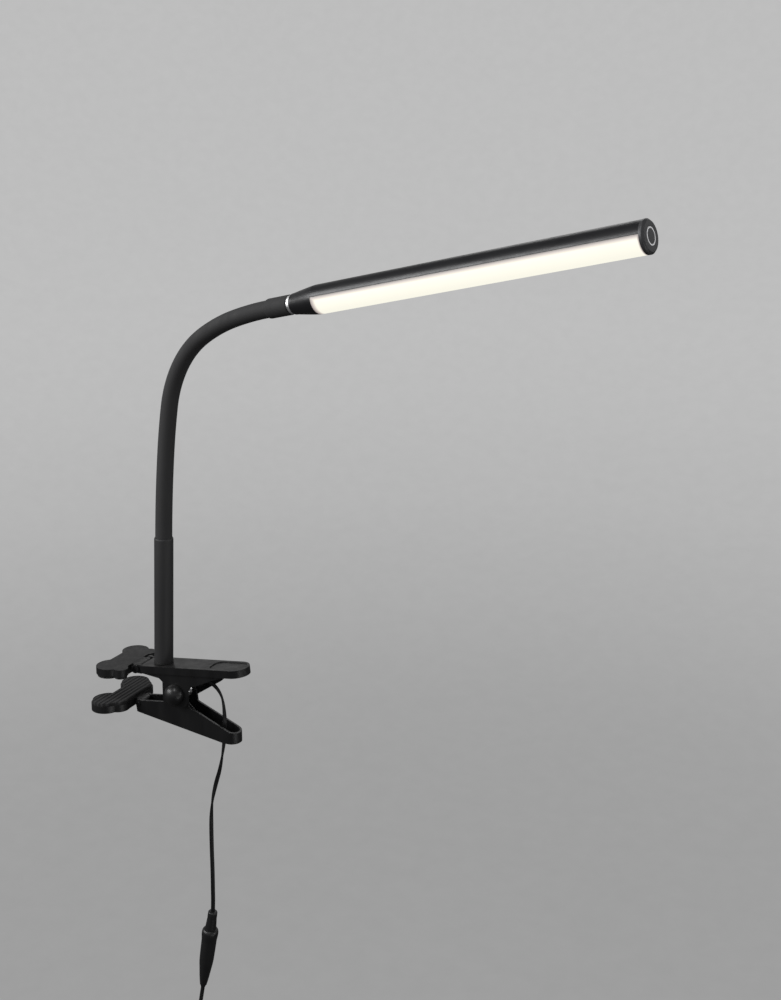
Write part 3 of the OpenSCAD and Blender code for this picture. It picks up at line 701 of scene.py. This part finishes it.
def neck_joints():
    """Start point and direction of each link, and the end of the last, from the record's joints."""
    base, axis = Vector(JOINTS["neck_turn"]["pos_m"]), Vector(JOINTS["neck_turn"]["axis"])
    at, out = base + axis * SLEEVE_L, []
    for i in range(LINKS):
        out.append((at, axis))
        if i + 1 == LINKS:
            break
        end = Vector(JOINTS[f"neck_bend_{i + 1}"]["pos_m"])
        chord = (end - at).normalized()
        axis = (chord * 2 * chord.dot(axis) - axis).normalized()
        at = end
    return out


NECK = neck_joints()
BEND_AXIS = Vector(JOINTS["neck_bend_1"]["axis"])
HEAD_AXIS = Vector(JOINTS["head_swivel"]["axis"]).normalized()
HEAD = placed(JOINTS["head_swivel"]["pos_m"], HEAD_AXIS, BEND_AXIS)


def neck_point(s):
    """Point and direction on the neck's centreline at distance s along it."""
    i = min(int(s / LINK_L), LINKS - 1)
    at, axis = NECK[i]
    end_axis = NECK[i + 1][1] if i + 1 < LINKS else HEAD_AXIS
    bend = axis.angle(end_axis)
    radius = LINK_L / bend
    a = (s - i * LINK_L) / radius
    inward = BEND_AXIS.cross(axis).normalized()
    point = at + axis * (radius * math.sin(a)) + inward * (radius * (1 - math.cos(a)))
    return point, (axis * math.cos(a) + inward * math.sin(a)).normalized()


def sheath_piece(k):
    """Sheath from mid-link to mid-link, so that it bends over joint k without a seam at the joint."""
    s0, s1 = max(0, (k - 0.5) * LINK_L), min(LINKS * LINK_L, (k + 0.5) * LINK_L)
    rings, sides = round((s1 - s0) / (1.1 * MM)), 56
    points, faces = [], []
    for i in range(rings + 1):
        s = s0 + (s1 - s0) * i / rings
        p, t = neck_point(s)
        share = s / (LINKS * LINK_L)
        r = SHEATH_R[0] * (1 - share) + SHEATH_R[1] * share
        side = BEND_AXIS
        up = t.cross(side)
        for j in range(sides):
            a = 2 * math.pi * j / sides
            points.append(p + side * (r * math.cos(a)) + up * (r * math.sin(a)))
    for i in range(rings):
        for j in range(sides):
            m = (j + 1) % sides
            faces.append((i * sides + j, i * sides + m, (i + 1) * sides + m, (i + 1) * sides + j))
    obj = mesh_object(f"neck_skin_{k}", points, faces, MATS["neck_rubber"], 60)
    if k < LINKS:
        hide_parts(f"neck_sheath_{k}")
    if 0 < k < LINKS:
        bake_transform(obj)
    else:
        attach(obj, f"neck_{min(k, LINKS - 1)}")


for k in range(LINKS + 1):
    sheath_piece(k)

NECK_BASE = placed(JOINTS["neck_turn"]["pos_m"], JOINTS["neck_turn"]["axis"], BEND_AXIS)


def sleeve():
    """Rigid lower tube of the neck, with a rolled lip at its top."""
    top = SLEEVE_L / MM
    obj = lathe("sleeve_tube", [
        (4.2, 1.66, 0), (6.5, 1.66, 0.15), (6.62, 1.9, 0.1), (6.62, top - 0.7, 0.5), (6.3, top, 0.3),
        (5.95, top, 0.1), (5.86, top - 0.6, 0),
    ], NECK_BASE, MATS["sleeve_paint"], 72)
    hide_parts("lower_sleeve")
    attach(obj, "neck_0")


def ferrule():
    """Crimped sleeve at the neck's upper end."""
    long = FERRULE_L / MM
    place = HEAD @ Matrix.Translation((0, 0, -FERRULE_L - RING_L))
    obj = lathe("neck_collar", [
        (5.6, 0.9, 0), (5.75, 0.1, 0.2), (6.15, 0.02, 0.4), (6.35, 0.8, 0.3), (6.35, long - 0.5, 0.3),
        (6.1, long - 0.02, 0.15), (3.3, long - 0.02, 0),
    ], place, MATS["neck_rubber"], 72)
    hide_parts("neck_ferrule")
    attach(obj, "neck_6")


def bright_ring():
    place = HEAD @ Matrix.Translation((0, 0, -RING_L))
    obj = lathe("bright_collar", [
        (3.3, 0.05, 0), (5.6, 0.05, 0.15), (5.92, 0.4, 0.2), (5.95, 1.3, 0.6), (5.92, 2.2, 0.2),
        (5.6, 2.55, 0.15), (3.3, 2.55, 0),
    ], place, MATS["bright_ring"], 72)
    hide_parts("chrome_ring")
    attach(obj, "neck_6")


sleeve()
ferrule()
bright_ring()


# ---------------------------------------------------------------- head

def cone():
    obj = lathe("cone_shell", [
        (3.3, 0.06, 0), (6.3, 0.06, 0.3), (6.65, 0.5, 0.3), (6.75, 2.2, 1.5), (7.25, 5.5, 3), (8.0, 10.5, 3),
        (8.75, 16, 3), (9.1, 19.8, 0.1), (8.9, 20, 0), (7.6, 20, 0),
    ], HEAD, MATS["head_paint"], 80)
    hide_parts("head_cone")
    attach(obj, "head")


def head_shell(name, a0, a1, thick, mat, node, step):
    """Part of the head's tube between two angles from straight down, with its long edges eased.

    Its edge attribute is 0 in the middle, 1 at the long edges and 0.8 at the ends.
    """
    l0, l1 = CONE_L + 0.02 * MM, HEAD_L - CAP_L - 0.02 * MM
    sides = round((a1 - a0) / 3.0)
    rows = round((l1 - l0) / step)
    ease = 0.1 * MM
    section = [(a0, HEAD_R - thick)]
    section += [(a0, HEAD_R - ease), (a0 + 0.3, HEAD_R - 0.03 * MM)]
    section += [(a0 + 1.4 + (a1 - a0 - 2.8) * k / sides, HEAD_R) for k in range(sides + 1)]
    section += [(a1 - 0.3, HEAD_R - 0.03 * MM), (a1, HEAD_R - ease), (a1, HEAD_R - thick)]
    section += [(a1 - (a1 - a0) * k / 20, HEAD_R - thick) for k in range(1, 20)]
    points, faces, edge = [], [], []
    n = len(section)
    for i in range(rows + 1):
        z = l0 + (l1 - l0) * i / rows
        for a, r in section:
            angle = math.radians(a)
            points.append(HEAD @ Vector((r * math.cos(angle), r * math.sin(angle), z)))
            across = abs(2 * (a - a0) / (a1 - a0) - 1)
            from_end = min(z - l0, 4 * (l1 - z))
            edge.append(max(across ** 8, 0.8 - from_end / (6 * MM), 0))
    for i in range(rows):
        for k in range(n):
            m = (k + 1) % n
            faces.append((i * n + k, i * n + m, (i + 1) * n + m, (i + 1) * n + k))
    faces += [tuple(range(n)), tuple(range(rows * n, (rows + 1) * n))]
    obj = mesh_object(name, points, faces, mat, 40)
    attribute(obj, "edge", edge)
    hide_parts(node)
    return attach(obj, "head")


def cap():
    """Thin end cap with a bevelled rim and a groove for the light ring."""
    z = HEAD_L / MM
    back = z - CAP_L / MM + 0.02
    rim = HEAD_R / MM + 0.13
    obj = lathe("cap_shell", [
        (7.0, z - 1.2, 0), (7.0, back, 0), (rim, back, 0.1), (rim, z - 1.25, 0.15),
        (rim - 1.2, z - 0.04, 0.2), (RING_OUT + 0.04, z - 0.04, 0.08), (RING_OUT + 0.02, z - 0.46, 0),
        (RING_IN - 0.02, z - 0.46, 0), (RING_IN - 0.04, z - 0.04, 0.08), (0, z - 0.02, 0),
    ], HEAD, MATS["cap_paint"], 88)
    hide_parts("end_cap")
    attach(obj, "head")


def touch_ring():
    z = HEAD_L / MM
    obj = lathe("touch_ring", [
        (RING_IN, z - 0.45, 0), (RING_IN, z - 0.04, 0.1), (RING_IN + 0.15, z + 0.03, 0.05),
        (RING_OUT - 0.15, z + 0.03, 0.05), (RING_OUT, z - 0.04, 0.1), (RING_OUT, z - 0.45, 0),
    ], HEAD, MATS["ring_light"], 80)
    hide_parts("light_ring")
    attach(obj, "head")


cone()
cap()
touch_ring()
half_wrap = 90 + WRAP
shell = head_shell("head_shell", half_wrap, 360 - half_wrap, SHELL_T, MATS["head_paint"],
                   "head_housing", 10 * MM)
glow = head_shell("opal_tube", -half_wrap, half_wrap, DIFFUSER_T, MATS["opal"], "diffuser", 1 * MM)


# ---------------------------------------------------------------- clamp

def pivot_domes():
    """Domed caps on both ends of the main pivot, each with a thin flange."""
    low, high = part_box("pivot_caps")
    centre = (low + high) / 2
    for side, name in ((-1, "pivot_dome_front"), (1, "pivot_dome_back")):
        y = high.y if side > 0 else low.y
        depth, radius, flange = 7.2, 7.2, 0.9
        place = placed((centre.x, y - side * depth * MM, centre.z), (0, side, 0), (0, 0, 1))
        dome = []
        for angle in range(6, 90, 6):
            a = math.radians(angle)
            dome.append((radius * math.cos(a), flange + 6.28 * math.sin(a), 0.0))
        obj = lathe(name, [(2.6, 0.02, 0), (6.9, 0.02, 0.2), (radius, 0.3, 0.2), *dome, (0, 7.18, 0)],
                    place, MATS["cap_plastic"], 72, smooth=50)
        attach(obj, "clamp")
        if side < 0:
            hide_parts("pivot_caps")


def spring_piece():
    """The spring's wire, whose lower leg follows the lower lever."""
    mesh = frame["nodes"]["torsion_spring"].data.copy()
    obj = link_object("spring_wire", mesh, MATS["spring_steel"], 70)
    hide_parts("torsion_spring")
    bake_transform(obj)


# CAD shapes shown with eased edges: node, then the piece's name, material, width in mm and segments
EASED = {
    "upper_lever": ("upper_lever_shell", "clamp_plastic", 0.6, 3),
    "lower_lever": ("lower_lever_shell", "clamp_plastic", 0.5, 3),
    "upper_foot": ("upper_foot_shell", "foot_plastic", 0.8, 3),
    "lower_foot": ("lower_foot_shell", "foot_plastic", 0.8, 3),
    "upper_pad": ("upper_pad_rubber", "pad_rubber", 0.35, 2),
    "lower_pad": ("lower_pad_rubber", "pad_rubber", 0.35, 2),
    "upper_foot_pin": ("upper_foot_axle", "pin_steel", 0.25, 2),
    "lower_foot_pin": ("lower_foot_axle", "pin_steel", 0.25, 2),
    "pivot_spacers": ("pivot_washers", "nylon", 0.2, 2),
    "neck_seat": ("seat_ring", "seat_rubber", 0.4, 3),
    "cord_clip": ("cord_clamp", "clamp_plastic", 0.3, 2),
    "clip_screw": ("clamp_screw", "zinc", 0.2, 2),
    "neck_nut": ("nipple_nut", "brass_fitting", 0.3, 2),
    "seat_wedge": ("wedge_washer", "zinc", 0.2, 2),
}
for node, (name, mat, width, segments) in EASED.items():
    piece = eased_copy(node, name, MATS[mat], width * MM, segments)
pivot_domes()
spring_piece()

# inside parts that keep their CAD mesh, with their materials
KEPT = {
    "pivot_pin": "pin_steel",
    "spring_bush": "nylon",
    "neck_nipple": "brass_fitting",
    "inner_lead": "lead_pvc",
    "swivel_shaft": "zinc",
    "swivel_clip": "spring_steel",
    "led_board": "board_white",
    "led_chips": "led_yellow",
    "touch_board": "board_green",
    "plug_barrel": "nickel",
    "contact_pin": "nickel",
    **{f"neck_core_{i}": "neck_hose" for i in range(LINKS)},
}
for node, mat in KEPT.items():
    frame["nodes"][node].data.materials.clear()
    frame["nodes"][node].data.materials.append(MATS[mat])


# ---------------------------------------------------------------- stage and light

STAGE_CENTRE = Vector((0.16, 0, 0))
LIGHT_AIM = Vector((0.17, -0.02, 0.1))
FLOOR_Z = -0.46


def stage_material():
    """Plain pale paper that glows with painted light, a little brighter high up than near the floor."""
    m = Nodes("paper_sweep")
    parts = m.add("SeparateXYZ")
    m.join(m.place, parts.inputs["Vector"])
    # painted light: the paper's glow rises with height, so it is brighter high up than near the floor
    painted_light_rise = m.ranged(parts.outputs["Z"], 0, 1, FLOOR_Z, FLOOR_Z + 0.5)
    tone = m.ramp(painted_light_rise, (0.0, grey(0.348)), (0.1, grey(0.37)), (0.24, grey(0.42)), (0.46, grey(0.475)),
                  (0.74, grey(0.513)), (1.0, grey(0.53)))
    paper = m.ramp(m.noise(40, 4), (0.3, grey(0.97)), (0.7, grey(1.0)))
    mix = m.add("Mix", data_type="RGBA", blend_type="MULTIPLY")
    mix.inputs["Factor"].default_value = 1
    m.join(tone, mix.inputs[6])
    m.join(paper, mix.inputs[7])
    m.join(mix.outputs[2], m.shader.inputs["Emission Color"])
    m.shader.inputs["Emission Strength"].default_value = 0.97
    m.join(m.ramp(m.noise(300, 3), (0.3, grey(0.016)), (0.7, grey(0.02))), m.shader.inputs["Base Color"])
    m.shader.inputs["Roughness"].default_value = 0.95
    m.shader.inputs["Specular IOR Level"].default_value = 0
    return m.mat


def sweep_room():
    """Round floor that curves up into a wall on every side, so that every view has a plain ground."""
    radius, curve, height = 2600, 2100, 3600
    floor = FLOOR_Z / MM
    profile = [(0, floor, 0), (250, floor, 0), (radius - curve, floor, 0)]
    for k in range(1, 25):
        a = math.radians(90 * k / 24)
        profile.append((radius - curve + curve * math.sin(a), floor + curve * (1 - math.cos(a)), 0))
    profile.append((radius, floor + height, 0))
    obj = lathe("sweep_room", profile, Matrix.Translation(STAGE_CENTRE), stage_material(), 96, smooth=60)
    obj.visible_diffuse = False
    obj.visible_glossy = False
    obj.visible_shadow = False


def soft_light(name, direction, distance, size, power):
    """Area light aimed at the lamp from (azimuth, elevation) degrees, azimuth 0 being -Y and 90 +X."""
    data = bpy.data.lights.new(name, "AREA")
    data.shape = "RECTANGLE"
    data.size, data.size_y = size
    data.energy = power
    light = bpy.data.objects.new(name, data)
    azimuth, elevation = (math.radians(x) for x in direction)
    back = Vector((math.sin(azimuth) * math.cos(elevation), -math.cos(azimuth) * math.cos(elevation),
                   math.sin(elevation)))
    light.location = LIGHT_AIM + back * distance
    light.rotation_euler = back.to_track_quat("Z", "Y").to_euler()
    bpy.context.scene.collection.objects.link(light)


def studio_air():
    """Dim studio air: a soft band of light above the horizon, dark overhead and near the floor."""
    world = bpy.data.worlds.new("studio")
    world.use_nodes = True
    tree = world.node_tree
    coords = tree.nodes.new("ShaderNodeTexCoord")
    parts = tree.nodes.new("ShaderNodeSeparateXYZ")
    height = tree.nodes.new("ShaderNodeMapRange")
    height.inputs["From Min"].default_value = -1
    ramp = tree.nodes.new("ShaderNodeValToRGB")
    for at, tone in ((0.35, 0.05), (0.5, 0.20), (0.58, 0.45), (0.68, 0.40), (0.8, 0.10), (0.99, 0.06)):
        element = ramp.color_ramp.elements.new(at)
        element.color = (*grey(tone), 1)
    ramp.color_ramp.elements.remove(ramp.color_ramp.elements[0])
    ramp.color_ramp.elements.remove(ramp.color_ramp.elements[-1])
    tree.links.new(coords.outputs["Generated"], parts.inputs["Vector"])
    tree.links.new(parts.outputs["Z"], height.inputs["Value"])
    tree.links.new(height.outputs["Result"], ramp.inputs["Fac"])
    tree.links.new(ramp.outputs["Color"], tree.nodes["Background"].inputs["Color"])
    tree.nodes["Background"].inputs["Strength"].default_value = 0.9
    bpy.context.scene.world = world


sweep_room()
studio_air()
soft_light("key", (12, 66), 1.5, (0.5, 0.4), 6)
soft_light("side", (-53, 26), 1.6, (1.05, 0.6), 17)
soft_light("rim", (190, 37), 1.6, (1.0, 0.5), 2)
soft_light("right", (100, 5), 1.6, (0.5, 0.9), 2.6)
soft_light("bounce", (65, -26), 1.6, (1.0, 0.35), 2.2)
bpy.context.scene.view_settings.view_transform = "Standard"
